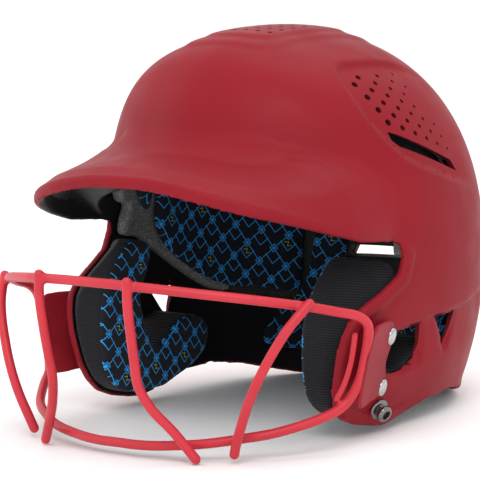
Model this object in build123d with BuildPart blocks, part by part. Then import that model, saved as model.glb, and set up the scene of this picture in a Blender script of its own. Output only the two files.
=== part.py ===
"""Batting helmet with two ear flaps, a wire face guard and a padded lining.

Millimetres, +Z up, the wearer faces -Y and +X is the wearer's left.  The helmet stands on its
nape edge and on the lower ends of the guard's inner bars, at z = 0.
"""
from build123d import *
import math
import os

os.makedirs("parts", exist_ok=True)

# ---------------------------------------------------------------- driving dimensions
HALF_WIDTH = 116        # shell, at the belt
FRONT_LENGTH = 131      # shell, from the widest point to the forehead
REAR_LENGTH = 130       # shell, from the widest point to the back
CROWN_RISE = 137.5      # from the belt to the crown
CENTRE_Y = 27           # the widest point
BELT_Z = 95             # the belt, where the dome starts
DOME_POWER = 2.2        # superellipse of the dome's height
PLAN_POWER = 2.1        # superellipse of the dome's plan
FLAP_SQUARENESS = 0.9   # how much squarer the plan gets in front, down at the flaps
SIDE_TUCK = 24          # how far the flaps come in at the bottom edge
NAPE_TUCK = 14          # how far the back comes in at the bottom edge
WALL = 3.5              # shell wall
BRIM_WALL = 4
PANEL_DEPTH = 1.2       # of the recessed side panels
LINER = 9.5             # moulded foam
PAD = 8                 # fabric comfort pads
EAR_PAD_INNER_X = 75    # from the centre plane to the thick ear pads' inner faces
FIT_GAP = 0.3           # between soft layers
FLOOR_Z = 0

BRIM_HALF_WIDTH = 115.5
BRIM_RISE = 89          # arch of the brim above its springing line
BRIM_POWER = 2.2
BRIM_SPRING_Y = -4      # where the springing line starts, at the flap
BRIM_SPRING_Z = 112
BRIM_SLOPE = 20         # degrees, falling towards the front
BRIM_FRONT_Y = -120
BRIM_RUN = 170          # the arch is run this far back from in front of the lip, into the dome
BRIM_START = 20         # in front of the lip
LIP_LOW_Z = 60          # the lip's outline is run from here
LIP_RUN = 140
LIP_CLOSING = (92, 30)  # the outline is closed through here, inside the dome

WIRE_R = 2.85           # guard wire
THIN_WIRE_R = 1.6
PLATE = 2
SCREW_R = 2
SCREW_HEAD_R = 4.9
SCREW_LENGTH = 10
SCREW_RIM = 0.9         # straight edge of the head, under its dome
SCREW_DOME = 1.9
SCREW_TAPER = 38        # degrees, the dome's sides
SCREW_GAP = 0.05        # between the head and the plate
SPACER_R = 5.5
SPACER_REACH = 6        # past the shell's surface, which then trims it
NUT_R = 4
NUT_FROM = 4.8          # inside the shell's wall, which then trims it
NUT_LENGTH = 4.3
SNAP_BASE_R = 5.2
SNAP_BASE = 2
SNAP_POST_R = 2.4
SNAP_NECK = 4.5
SNAP_KNOB_R = 3.9
SNAP_KNOB = 4
SNAP_HOLLOW_R = 2.2
SNAP_HOLLOW = 3
SNAP_SHANK = 6.5
SNAP_WASHER = 4         # past the shell's inner surface, which then trims it
HOLE_CLEARANCE = 0.3
FAR = 200               # past the helmet's sides, for cutters that run through


# ---------------------------------------------------------------- shell surface
def smooth(t):
    """0 to 1 with flat ends."""
    t = min(max(t, 0), 1)
    return t * t * (3 - 2 * t)


def section_points(z, inset, count=32):
    """One level of the shell's surface, moved inwards by inset."""
    rise = CROWN_RISE - inset
    height = min(max((z - BELT_Z) / rise, 0), 1)
    dome = (1 - height**DOME_POWER) ** (1 / DOME_POWER)
    depth = max((BELT_Z - z) / BELT_Z, 0)
    half_width = (HALF_WIDTH - inset) * dome - SIDE_TUCK * depth**2.2
    front = (FRONT_LENGTH - inset) * dome
    rear = (REAR_LENGTH - inset) * dome - NAPE_TUCK * depth**1.6
    front_power = PLAN_POWER + FLAP_SQUARENESS * smooth((115 - z) / 50)
    points = []
    for i in range(count):
        angle = 2 * math.pi * i / count
        side, ahead = math.cos(angle), math.sin(angle)
        power, length = (PLAN_POWER, rear) if ahead > 0 else (front_power, front)
        x = half_width * math.copysign(abs(side) ** (2 / power), side)
        y = length * math.copysign(abs(ahead) ** (2 / power), ahead)
        points.append((x, CENTRE_Y + y))
    return points


BELOW_BELT = [-8, 12, 32, 54, 75, 95]
ABOVE_BELT = [0.18, 0.34, 0.5, 0.63, 0.74, 0.83, 0.9, 0.95, 0.98, 0.995]


def shell_body(inset):
    """Everything inside the shell's surface moved inwards by inset."""
    levels = BELOW_BELT + [BELT_Z + (CROWN_RISE - inset) * share for share in ABOVE_BELT]
    with BuildPart() as body:
        for z in levels:
            with BuildSketch(Plane.XY.offset(z)):
                with BuildLine():
                    Spline(*section_points(z, inset), periodic=True)
                make_face()
        loft()
    return body.part


OUTER = shell_body(0)
INNER = shell_body(WALL)
LINER_OUT = shell_body(WALL + FIT_GAP)
LINER_IN = shell_body(WALL + LINER)
PAD_OUT = shell_body(WALL + LINER + FIT_GAP)
PAD_IN = shell_body(WALL + LINER + PAD)
PANEL_FLOOR = shell_body(PANEL_DEPTH)


def side_prism(outline, x_from, x_to):
    """An outline of (y, z) points, run along X between two planes."""
    with BuildPart() as prism:
        with BuildSketch(Plane.YZ.offset(x_from)):
            with BuildLine():
                Polyline(*outline, close=True)
            make_face()
        extrude(amount=x_to - x_from)
    return prism.part


def back_prism(outline, y_from, y_to):
    """An outline of (x, z) points, run along Y between two planes."""
    with BuildPart() as prism:
        with BuildSketch(Plane.XZ.offset(-y_from)):
            with BuildLine():
                Polyline(*outline, close=True)
            make_face()
        extrude(amount=-(y_to - y_from))
    return prism.part


# ---------------------------------------------------------------- brim
def lip_half():
    """The brim's lip in plan, from the flap to the centre of the front."""
    return [(115, -4), (114, -38), (110, -59), (102.5, -76), (92, -90), (81, -101), (66, -110),
            (49, -116), (27, -119), (0, BRIM_FRONT_Y)]


def mirrored(half):
    """Both halves of a line that ends on the centre plane."""
    return half + [(-x, y) for x, y in reversed(half[:-1])]


def arch_points(inset, count=24):
    """The brim's arch, looking along the brim's slope."""
    points = []
    for i in range(count + 1):
        angle = math.pi * i / count
        x = math.copysign(abs(math.cos(angle)) ** (2 / BRIM_POWER), math.cos(angle))
        z = math.sin(angle) ** (2 / BRIM_POWER)
        points.append(((BRIM_HALF_WIDTH - inset) * x, (BRIM_RISE - inset) * z))
    return points


def brim_sheet(top_inset, bottom_inset, lip_inset):
    """A sheet that follows the arch, between two insets, cut to the lip's outline."""
    slope = math.tan(math.radians(BRIM_SLOPE))
    start_y = BRIM_FRONT_Y - BRIM_START
    start_z = BRIM_SPRING_Z + slope * (start_y - BRIM_SPRING_Y)
    direction = Vector(0, 1, slope).normalized()
    start = Plane(origin=(0, start_y, start_z), x_dir=(1, 0, 0), z_dir=(0, -1, 0))
    with BuildPart() as sheet:
        with BuildSketch(start):
            with BuildLine():
                Spline(*arch_points(top_inset))
                Line((-(BRIM_HALF_WIDTH - top_inset), 0), (BRIM_HALF_WIDTH - top_inset, 0))
            make_face()
            with BuildLine():
                Spline(*arch_points(bottom_inset))
                Line((-(BRIM_HALF_WIDTH - bottom_inset), 0), (BRIM_HALF_WIDTH - bottom_inset, 0))
            make_face(mode=Mode.SUBTRACT)
        extrude(amount=BRIM_RUN, dir=direction)
        with BuildSketch(Plane.XY.offset(LIP_LOW_Z)):
            with BuildLine():
                scale_in = 1 - lip_inset / BRIM_HALF_WIDTH
                lip = [(x * scale_in, y * scale_in) for x, y in mirrored(lip_half())]
                Spline(*lip)
                Polyline(lip[-1], (-LIP_CLOSING[0], LIP_CLOSING[1]), LIP_CLOSING, lip[0])
            make_face()
        extrude(amount=LIP_RUN, mode=Mode.INTERSECT)
        add(side_prism(UNDER_THE_LIP, -FAR, FAR), mode=Mode.SUBTRACT)
    return sheet.part


# (y, z): the lip's lower edge, from the flap forwards, and down to close below it
UNDER_THE_LIP = [(60, 112), (-4, 112), (-38, 116.5), (-59, 123), (-76, 129), (-125, 146), (-160, 146),
                 (-160, -20), (60, -20)]

# ---------------------------------------------------------------- shell
# (y, z): the face opening and everything in front of the flaps
FACE_OPENING = [(-200, 163), (-100, 163), (-75, 152), (-40, 132), (-12, 117), (-2, 112), (-1, 105),
                (-6, 94.6), (-20, 87), (-37.8, 79), (-46, 72), (-50.5, 62), (-52.3, 50), (-51, 31),
                (-47, 21), (-40, 13), (-28, 8), (-28, -30), (-200, -30)]
# (y, z): below the flaps' lower edges and the nape
LOWER_EDGE = [(-60, 12), (-40, 13), (-28, 8), (-12.6, 4.5), (-1.6, 3), (11.4, 5), (40, 11.5), (52, 11.5),
              (66, 12.7), (88, 9), (104, 4), (117, FLOOR_Z), (170, FLOOR_Z), (170, -30), (-60, -30)]
EAR_HOLE = [(-15.9, 54.4), (-12.7, 61), (16.1, 62.9), (21.5, 50.6), (19.5, 37.6), (1.2, 34.7),
            (-17, 38.4), (-20.8, 45.6)]
TRIANGLE_VENT = [(28.7, 64.5), (56.7, 64.1), (44.4, 41.8)]
SIDE_SLOT = [(12.5, 173.5), (13, 169), (16, 165), (67, 145.5), (64, 151), (16, 172)]
SIDE_PANEL = [(6, 213), (-1, 207), (-3, 197), (-2, 184), (3, 173), (9, 164), (20, 154), (53, 142), (81, 135),
              (100, 143), (92, 175), (69, 202), (53, 209), (21, 213)]
REAR_VENT = [(-41, 72), (41, 72), (38, 82), (-38, 82)]
REAR_SLOT = [(46, 144), (80, 144), (80, 151), (50, 151)]

# The side panels' holes lie on a slanted lattice of (y, z) steps and shrink away from the front edge.
LATTICE_START = (-12.8, 191.3)
LATTICE_UP = (7.5, 3.3)
LATTICE_DOWN = (9.6, -4.1)
HOLES_UP = [(3, 4), (2, 5), (1, 6), (0, 5), (0, 3), (0, 2), (0, 2), (0, 1), (0, 0)]
HOLE_R = 1.9
HOLE_SHRINK = 0.24

CROWN_PANEL = (58, 88)      # width and length of the raised crown panel
CROWN_PANEL_Y = 30
CROWN_PANEL_R = 20
CROWN_RAISE = 1.2
CROWN_FROM_Z = 200      # the crown's features are run up from here
CROWN_RUN = 60
CROWN_HOLES = (5, 6)
CROWN_HOLE_STEP = (9, 11)
CROWN_HOLE_R = 1.6


def panel_holes():
    """(y, z, radius) of each hole in a side panel."""
    holes = []
    for down, (first, last) in enumerate(HOLES_UP):
        for up in range(first, last + 1):
            y = LATTICE_START[0] + up * LATTICE_UP[0] + down * LATTICE_DOWN[0]
            z = LATTICE_START[1] + up * LATTICE_UP[1] + down * LATTICE_DOWN[1]
            holes.append((y, z, HOLE_R - HOLE_SHRINK * (up + down - 3)))
    return holes


# ---------------------------------------------------------------- guard plate and fasteners
# The plate is flat: it lies on the flap at the screws and leaves it towards the wire in front.
PLATE_SEAT = (113.8, -20, 61)       # on the plate's inner face, at the upper screw
PLATE_NORMAL = Vector(1, 0.33, -0.26).normalized()
LOWER_SCREW_DOWN = 31.5
SNAP_SEAT = (99.2, -12.1, 15)
SNAP_NORMAL = Vector(1, -0.15, -0.45).normalized()


def on_side(vector, side):
    """A point or direction of the left side, taken to the side asked for."""
    x, y, z = vector
    return Vector(side * x, y, z)


def plate_plane(side):
    """Local x runs forwards; local y runs downwards on the left side and upwards on the right."""
    normal = on_side(PLATE_NORMAL, side)
    forwards = Vector(0, -1, 0) - normal * Vector(0, -1, 0).dot(normal)
    return Plane(origin=on_side(PLATE_SEAT, side), x_dir=forwards, z_dir=normal)


PLATE_OUTLINE = [(-5, 1), (-1.5, 8), (12, 12), (34, 9.5), (37.5, -31), (19, -36), (-7, -35), (-3, -22.5),
                 (0, -15), (-5.5, -4)]


def screw_origin(side, index):
    plane = plate_plane(side)
    return plane.from_local_coords(Vector(0, index * LOWER_SCREW_DOWN * side, 0))


def axis_plane(origin, normal):
    return Plane(origin=origin, z_dir=normal)


def round_bar(origin, normal, radius, start, end):
    """A plain cylinder along a fastener's axis, between two heights above its seat."""
    with BuildPart() as bar:
        with BuildSketch(axis_plane(origin, normal).offset(start)):
            Circle(radius)
        extrude(amount=end - start)
    return bar.part


SIDES = {"left": 1, "right": -1}
BORE = (-20, 10)        # through the shell's wall, along a fastener's axis

with BuildPart() as wall:
    add(OUTER)
    add(INNER, mode=Mode.SUBTRACT)

with BuildPart() as crown_panel:
    with BuildSketch(Plane.XY.offset(CROWN_FROM_Z)):
        with Locations((0, CROWN_PANEL_Y)):
            RectangleRounded(*CROWN_PANEL, CROWN_PANEL_R)
    extrude(amount=CROWN_RUN)
    add(shell_body(-CROWN_RAISE), mode=Mode.INTERSECT)

with BuildPart() as recesses:
    for side in SIDES.values():
        add(side_prism(SIDE_PANEL, 0, side * FAR))
    add(PANEL_FLOOR, mode=Mode.SUBTRACT)

with BuildPart() as shell:
    add(OUTER)
    add(side_prism(FACE_OPENING, -FAR, FAR), mode=Mode.SUBTRACT)
    add(brim_sheet(0, BRIM_WALL, 0))
    add(recesses.part, mode=Mode.SUBTRACT)
    add(crown_panel.part)
    add(INNER, mode=Mode.SUBTRACT)
    for outline in (LOWER_EDGE, EAR_HOLE, TRIANGLE_VENT, SIDE_SLOT):
        add(side_prism(outline, -FAR, FAR), mode=Mode.SUBTRACT)
    add(back_prism(REAR_VENT, CENTRE_Y, FAR), mode=Mode.SUBTRACT)
    add(back_prism(REAR_SLOT, CENTRE_Y, FAR), mode=Mode.SUBTRACT)
    add(back_prism([(-x, z) for x, z in REAR_SLOT], CENTRE_Y, FAR), mode=Mode.SUBTRACT)
    with BuildSketch(Plane.YZ.offset(-FAR)):
        for y, z, radius in panel_holes():
            with Locations((y, z)):
                Circle(radius)
    extrude(amount=2 * FAR, mode=Mode.SUBTRACT)
    with BuildSketch(Plane.XY.offset(CROWN_FROM_Z)):
        with Locations((0, CROWN_PANEL_Y)):
            with GridLocations(*CROWN_HOLE_STEP, *CROWN_HOLES):
                Circle(CROWN_HOLE_R)
    extrude(amount=CROWN_RUN, mode=Mode.SUBTRACT)
    for side in SIDES.values():
        for index in range(2):
            add(round_bar(screw_origin(side, index), on_side(PLATE_NORMAL, side), SCREW_R + HOLE_CLEARANCE,
                          *BORE), mode=Mode.SUBTRACT)
        add(round_bar(on_side(SNAP_SEAT, side), on_side(SNAP_NORMAL, side), SNAP_POST_R + HOLE_CLEARANCE,
                      *BORE), mode=Mode.SUBTRACT)
shell.part.label = "shell"
export_step(shell.part, "parts/shell.step")


# ---------------------------------------------------------------- lining under the brim
LINING = 1
LINING_GAP = 0.1
LINING_SETBACK = 4      # from the lip

with BuildPart() as brim_lining:
    add(brim_sheet(BRIM_WALL + LINING_GAP, BRIM_WALL + LINING_GAP + LINING, LINING_SETBACK))
    add(OUTER, mode=Mode.SUBTRACT)
brim_lining.part.label = "brim_lining"
export_step(brim_lining.part, "parts/brim_lining.step")


# ---------------------------------------------------------------- moulded foam liner
# (y, z): the liner's lower edge, scalloped at the temples, closed round above
LINER_OUTLINE = [(-120, 166), (-75, 158), (-45, 148), (-31, 143), (-22, 134), (-2, 123), (8, 119), (3, 111),
                 (3, 105), (8, 102), (21, 98), (47, 79), (71, 61), (84, 56), (110, 50), (160, 48),
                 (160, 240), (-120, 240)]
LINER_GAP = 1           # between neighbouring foam pieces
FRONT_Y = -31           # the front piece ends here
BACK_Y = 86             # the rear piece starts here
CROWN_Z = 186           # the crown piece starts here


def box_between(low, high):
    with BuildPart() as block:
        with Locations(((low[0] + high[0]) / 2, (low[1] + high[1]) / 2, (low[2] + high[2]) / 2)):
            Box(high[0] - low[0], high[1] - low[1], high[2] - low[2])
    return block.part


with BuildPart() as foam:
    add(LINER_OUT)
    add(LINER_IN, mode=Mode.SUBTRACT)
    add(side_prism(LINER_OUTLINE, -FAR, FAR), mode=Mode.INTERSECT)
    add(back_prism(REAR_VENT, CENTRE_Y, FAR), mode=Mode.SUBTRACT)
    add(side_prism(SIDE_SLOT, -FAR, FAR), mode=Mode.SUBTRACT)

LINER_BLOCKS = {
    "liner_front": ((-FAR, -FAR, 0), (FAR, FRONT_Y, CROWN_Z - LINER_GAP)),
    "liner_left": ((0, FRONT_Y + LINER_GAP, 0), (FAR, BACK_Y - LINER_GAP, CROWN_Z - LINER_GAP)),
    "liner_right": ((-FAR, FRONT_Y + LINER_GAP, 0), (0, BACK_Y - LINER_GAP, CROWN_Z - LINER_GAP)),
    "liner_rear": ((-FAR, BACK_Y, 0), (FAR, FAR, CROWN_Z - LINER_GAP)),
    "liner_crown": ((-FAR, -FAR, CROWN_Z), (FAR, FAR, 2 * FAR)),
}
for name, (low, high) in LINER_BLOCKS.items():
    with BuildPart() as liner_piece:
        add(foam.part)
        add(box_between(low, high), mode=Mode.INTERSECT)
    liner_piece.part.label = name
    export_step(liner_piece.part, f"parts/{name}.step")


# ---------------------------------------------------------------- fabric comfort pads
# (y, z) for the pads on the sides, (x, z) for the pad at the back
FOREHEAD_OUTLINE = [(-120, 171), (-75, 166), (-45, 160), (-20, 150), (3, 137), (4, 129), (16, 115), (21, 120),
                    (24, 150), (24, 182), (-120, 182)]
SIDE_PAD_OUTLINE = [(27, 128), (25, 110), (32, 93), (53, 74), (68, 64), (80, 59), (95, 56.5), (135, 56),
                    (135, 150), (110, 168), (60, 176), (30, 176)]
SIDE_PAD_FROM_X = 58    # the side pads run round the back to here
REAR_PAD_OUTLINE = [(-60, 17), (60, 17), (66, 45), (56, 58), (50, 97), (30, 99), (28, 60), (0, 55), (-28, 60),
                    (-30, 99), (-50, 97), (-56, 58), (-66, 45)]
REAR_PAD_FROM_Y = 90
CROWN_PAD_FROM_Z = 190
CROWN_PAD_R = 52

with BuildPart() as padding:
    add(PAD_OUT)
    add(PAD_IN, mode=Mode.SUBTRACT)

with BuildPart() as forehead_pad:
    add(padding.part)
    add(side_prism(FOREHEAD_OUTLINE, -FAR, FAR), mode=Mode.INTERSECT)
forehead_pad.part.label = "forehead_pad"
export_step(forehead_pad.part, "parts/forehead_pad.step")

for label, side in SIDES.items():
    with BuildPart() as side_pad:
        add(padding.part)
        add(side_prism(SIDE_PAD_OUTLINE, side * SIDE_PAD_FROM_X, side * FAR), mode=Mode.INTERSECT)
    side_pad.part.label = f"side_pad_{label}"
    export_step(side_pad.part, f"parts/side_pad_{label}.step")

with BuildPart() as rear_pad:
    add(padding.part)
    add(back_prism(REAR_PAD_OUTLINE, REAR_PAD_FROM_Y, FAR), mode=Mode.INTERSECT)
rear_pad.part.label = "rear_pad"
export_step(rear_pad.part, "parts/rear_pad.step")

with BuildPart() as crown_pad:
    with BuildSketch(Plane.XY.offset(CROWN_PAD_FROM_Z)):
        with Locations((0, CENTRE_Y)):
            Circle(CROWN_PAD_R)
    extrude(amount=CROWN_RUN)
    add(padding.part, mode=Mode.INTERSECT)
crown_pad.part.label = "crown_pad"
export_step(crown_pad.part, "parts/crown_pad.step")


# ---------------------------------------------------------------- thick ear pads
# (y, z): a U whose open end is at the top, round the ear hole
EAR_PAD_OUTLINE = [(-4, 99), (-18, 103), (-27, 101), (-43.5, 84.5), (-49, 71), (-51.5, 58), (-52, 45),
                   (-50, 32), (-42, 23), (-26, 15), (0, 15), (14, 17), (30, 21), (42, 28.6), (47, 38), (42, 46),
                   (30, 50), (18, 48), (10, 44.5), (0, 40), (-6, 40), (-10, 45), (-14, 60), (-15, 70), (-8, 84)]
FASTENER_ROOM = 0.5     # round the nuts and studs, in the pads
NUT_ROOM_DEPTH = 11

for label, side in SIDES.items():
    with BuildPart() as ear_pad:
        add(LINER_OUT)
        add(side_prism(EAR_PAD_OUTLINE, side * EAR_PAD_INNER_X, side * FAR), mode=Mode.INTERSECT)
        for index in range(2):
            add(round_bar(screw_origin(side, index), on_side(PLATE_NORMAL, side), NUT_R + FASTENER_ROOM,
                          -NUT_ROOM_DEPTH, 0), mode=Mode.SUBTRACT)
        add(round_bar(on_side(SNAP_SEAT, side), on_side(SNAP_NORMAL, side), SNAP_BASE_R + FASTENER_ROOM,
                      -SNAP_SHANK - 1, 0), mode=Mode.SUBTRACT)
    ear_pad.part.label = f"ear_pad_{label}"
    export_step(ear_pad.part, f"parts/ear_pad_{label}.step")


# ---------------------------------------------------------------- wire guard
def bent_wire(points, radius, closed=False):
    """A round wire along straight runs joined by the largest arcs that fit."""
    count = len(points)
    corners = range(count) if closed else range(1, count - 1)
    bends = []
    for i in corners:
        before = Vector(*points[i]) - Vector(*points[i - 1])
        after = Vector(*points[(i + 1) % count]) - Vector(*points[i])
        half_turn = math.radians(before.get_angle(after)) / 2
        bends.append(0.45 * min(before.length, after.length) / math.tan(half_turn))
    with BuildPart() as wire:
        with BuildLine() as route:
            FilletPolyline(*points, radius=bends, close=closed)
        with BuildSketch(Plane(origin=route.line @ 0, z_dir=route.line % 0)):
            Circle(radius)
        sweep()
    return wire.part


# Each list holds the points of one half of the guard, on the wearer's left.
LOOP_HALF = [(34, -149, 103.2), (62, -136, 99.8), (90, -115.5, 94.8), (112, -92, 88.8), (123, -73, 82.5),
             (126, -54, 72), (123, -53.5, 56), (119, -55.5, 40), (113, -61, 28), (106, -74, 21.5),
             (91, -94, 15.8), (75, -107, 12.8), (54, -119.5, 9.8), (24, -127.5, 7.4)]
OUTER_BAR = [(115.5, -93.5, 91), (109.2, -104, 79), (103.8, -110, 68), (98.5, -114, 57), (93.5, -117, 46),
             (88.7, -118.5, 35), (84, -118.6, 24), (79, -117.6, 13), (76, -116.5, 5.5)]
INNER_BAR = [(33.1, -152.5, 107), (33.2, -152.8, 91.6), (33, -151, 76), (32.6, -148.5, 60), (32.4, -146, 46),
             (37.5, -141, 32), (46.5, -134, 19), (57.5, -127.3, 2)]
SIDE_WIRE = [(120.2, -58.8, 68), (117.4, -59.2, 54), (113.8, -61, 41), (109.8, -64.5, 31)]


def other_side(points):
    return [(-x, y, z) for x, y, z in points]


with BuildPart() as guard_loop:
    add(bent_wire(LOOP_HALF + other_side(LOOP_HALF)[::-1], WIRE_R, closed=True))
guard_loop.part.label = "guard_loop"
export_step(guard_loop.part, "parts/guard_loop.step")

for name, route, radius in (("guard_outer_bar", OUTER_BAR, WIRE_R), ("guard_inner_bar", INNER_BAR, WIRE_R),
                            ("guard_side_wire", SIDE_WIRE, THIN_WIRE_R)):
    for label, side in SIDES.items():
        with BuildPart() as guard_wire:
            add(bent_wire(route if side > 0 else other_side(route), radius))
        guard_wire.part.label = f"{name}_{label}"
        export_step(guard_wire.part, f"parts/{name}_{label}.step")

# ---------------------------------------------------------------- plates and fasteners
for label, side in SIDES.items():
    plane = plate_plane(side)
    normal = on_side(PLATE_NORMAL, side)
    with BuildPart() as plate:
        with BuildSketch(plane):
            with BuildLine():
                Polyline(*[(along, -up * side) for along, up in PLATE_OUTLINE], close=True)
            make_face()
        extrude(amount=PLATE)
        add(guard_loop.part, mode=Mode.SUBTRACT)
        for index in range(2):
            add(round_bar(screw_origin(side, index), normal, SCREW_R + HOLE_CLEARANCE, *BORE),
                mode=Mode.SUBTRACT)
    plate.part.label = f"guard_plate_{label}"
    export_step(plate.part, f"parts/guard_plate_{label}.step")

    for index, height in enumerate(("upper", "lower")):
        origin = screw_origin(side, index)
        seat = axis_plane(origin, normal)
        with BuildPart() as screw:
            with BuildSketch(seat.offset(PLATE + SCREW_GAP)):
                Circle(SCREW_HEAD_R)
            extrude(amount=SCREW_RIM)
            with BuildSketch(seat.offset(PLATE + SCREW_GAP + SCREW_RIM)):
                Circle(SCREW_HEAD_R)
            extrude(amount=SCREW_DOME, taper=SCREW_TAPER)
            with BuildSketch(seat.offset(PLATE + SCREW_GAP)):
                Circle(SCREW_R)
            extrude(amount=-SCREW_LENGTH)
        screw.part.label = f"screw_{height}_{label}"
        export_step(screw.part, f"parts/screw_{height}_{label}.step")

        with BuildPart() as spacer:
            with BuildSketch(seat):
                Circle(SPACER_R)
                Circle(SCREW_R + HOLE_CLEARANCE, mode=Mode.SUBTRACT)
            extrude(amount=-SPACER_REACH)
            add(OUTER, mode=Mode.SUBTRACT)
        spacer.part.label = f"spacer_{height}_{label}"
        export_step(spacer.part, f"parts/spacer_{height}_{label}.step")

        with BuildPart() as nut:
            with BuildSketch(seat.offset(-NUT_FROM)):
                RegularPolygon(NUT_R, 6)
                Circle(SCREW_R, mode=Mode.SUBTRACT)
            extrude(amount=-NUT_LENGTH)
            add(wall.part, mode=Mode.SUBTRACT)
        nut.part.label = f"nut_{height}_{label}"
        export_step(nut.part, f"parts/nut_{height}_{label}.step")

    seat = axis_plane(on_side(SNAP_SEAT, side), on_side(SNAP_NORMAL, side))
    with BuildPart() as snap_stud:
        with BuildSketch(seat):
            Circle(SNAP_BASE_R)
        extrude(amount=SNAP_BASE)
        with BuildSketch(seat):
            Circle(SNAP_POST_R)
        extrude(amount=SNAP_NECK)
        with BuildSketch(seat.offset(SNAP_NECK)):
            Circle(SNAP_KNOB_R)
        extrude(amount=SNAP_KNOB)
        with BuildSketch(seat.offset(SNAP_NECK + SNAP_KNOB)):
            Circle(SNAP_HOLLOW_R)
        extrude(amount=-SNAP_HOLLOW, mode=Mode.SUBTRACT)
        with BuildSketch(seat):
            Circle(SNAP_POST_R)
        extrude(amount=-SNAP_SHANK)
    snap_stud.part.label = f"snap_stud_{label}"
    export_step(snap_stud.part, f"parts/snap_stud_{label}.step")

    with BuildPart() as snap_washer:
        with BuildSketch(seat.offset(-SNAP_SHANK)):
            Circle(SNAP_BASE_R)
            Circle(SNAP_POST_R, mode=Mode.SUBTRACT)
        extrude(amount=SNAP_WASHER)
        add(wall.part, mode=Mode.SUBTRACT)
    snap_washer.part.label = f"snap_washer_{label}"
    export_step(snap_washer.part, f"parts/snap_washer_{label}.step")
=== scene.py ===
"""The looks of the batting helmet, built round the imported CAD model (metres, +Z up, faces -Y)."""
import itertools
import math

import bpy
import numpy as np
from mathutils import Euler, Matrix, Vector


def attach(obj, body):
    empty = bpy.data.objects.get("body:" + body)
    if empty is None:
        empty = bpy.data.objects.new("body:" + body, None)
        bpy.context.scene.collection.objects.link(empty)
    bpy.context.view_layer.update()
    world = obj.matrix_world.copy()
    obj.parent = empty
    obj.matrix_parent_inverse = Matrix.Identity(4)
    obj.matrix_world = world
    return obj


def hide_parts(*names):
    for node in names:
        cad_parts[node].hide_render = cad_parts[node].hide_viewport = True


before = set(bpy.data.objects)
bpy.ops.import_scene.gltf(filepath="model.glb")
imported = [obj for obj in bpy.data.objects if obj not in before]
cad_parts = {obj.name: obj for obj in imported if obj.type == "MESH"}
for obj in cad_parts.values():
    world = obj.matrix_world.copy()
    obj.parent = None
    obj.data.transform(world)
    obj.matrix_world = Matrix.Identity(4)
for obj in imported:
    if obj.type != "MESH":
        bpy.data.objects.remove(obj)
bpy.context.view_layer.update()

MM = 0.001
BODY = "helmet"

# ------------ shell dimensions, mm
HALF_WIDTH = 116.0
FRONT_LENGTH = 131.0
FRONT_SLIM = 31.0        # taken off the front above the brim's root
REAR_LENGTH = 130.0
CROWN_RISE = 134.5       # to the dome under the raised crown panel
CENTRE_Y = 27.0
BELT_Z = 95.0
ABOVE_BRIM_Z = (104, 150)        # heights over which the front is slimmed
DOME_POWER = 2.3         # a little fuller than the CAD dome
FRONT_FULLNESS = 0.5     # added to it in front
FULL_FRONT_Y = (CENTRE_Y, CENTRE_Y - 70)
FRONT_ROUNDNESS = 0.35   # taken off the plan's power in front, above the brim's root
PLAN_POWER = 2.1
FLAP_SQUARENESS = 0.9    # added to it in front, down at the flaps
FLAP_SQUARE_Z = (115, 65)
SIDE_TUCK = 24.0         # how far the sides come in below the belt
SIDE_TUCK_POWER = 2.2
NAPE_TUCK = 14.0         # and the nape
NAPE_TUCK_POWER = 1.6
WALL = 3.5
SHELL_ROUND = 2.4        # rounding of the shell's free edges
FLAP_EDGE_ROUND = 1.5    # where the flaps' edge runs into the brim's
WINDOW_ROUND = 1.2
WINDOW_FLOOR = 1.2       # left under the windows' bevels, and then cut crisply

BRIM_HALF_WIDTH = 115.5
BRIM_RISE = 89.0
BRIM_POWER = 2.2
BRIM_SPRING = (-4.0, 112.0)
BRIM_SLOPE = math.tan(math.radians(20))
BRIM_WALL = 4.2
LIP_HEIGHT = 6.5
LIP_STEP = (-9, -6)      # from the edge: the lip is thick outside here
LIP_CREST = 0.5          # how far the lip stands out of the brim's top
LIP_CREST_STEP = (-4.5, -1)
LIP_ROUND = 1.6
BRIM_FILLET = 12.0
SHARP_JOIN = 0.98        # the brim and the dome get hardly any fillet where they lie this much alike
SHARP_JOIN_SPAN = 0.45
BRIM_DIP = 0.22          # how fast the brim dips behind its lip
BRIM_DIP_FROM = 13.0     # from the edge
BRIM_DIP_REACH = 30.0
BRIM_SINK = 0.12         # how fast the brim's arch sinks into the dome
BRIM_SINK_Y = -40.0      # behind here
BRIM_END_Y = 20.0        # it is under the dome's skin here

# How far the skin stands out of the plain dome, or into it, and over which places it does so.
CROWN_STEP = 1.4         # each of the crown panel's two steps
CROWN_STEP_Z = (190, 210)
CROWN_LOW_SLOPE = 7.0
CROWN_HIGH_SLOPE = 6.0
FRONT_RISE = 5.0         # of the crown, towards the front
FRONT_RISE_Z = (160, 222)
FRONT_RISE_Y = (30, -40)
PANEL_DEPTH = 3.0        # of the side panels' front
PANEL_SLOPE = (0, -5)
PANEL_X = (30, 42)
PANEL_FADE_Y = (45, 100)
EAR_DEPTH = 2.2          # of the recess round the ear hole, under the ridge
EAR_STEP = (0, 2)        # below the ridge
EAR_FADE = (0, 30)
EAR_Y = (-16, 85)
EAR_END = 20
EAR_X = (60, 70)
BAND = 1.9               # the raised band along the flaps' edges
BAND_WIDTH = 8.5
BAND_SLOPE = 1.6
GROOVE = 0.5             # and the groove behind it
GROOVE_AT = 9.3
GROOVE_WIDTH = 1.3
FLAP_Z = (112, 104)
FLAP_Y = (20, 0)
HEM = 1.2                # along the nape
HEM_Z = (14, 6)
HEM_Y = (60, 100)

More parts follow.
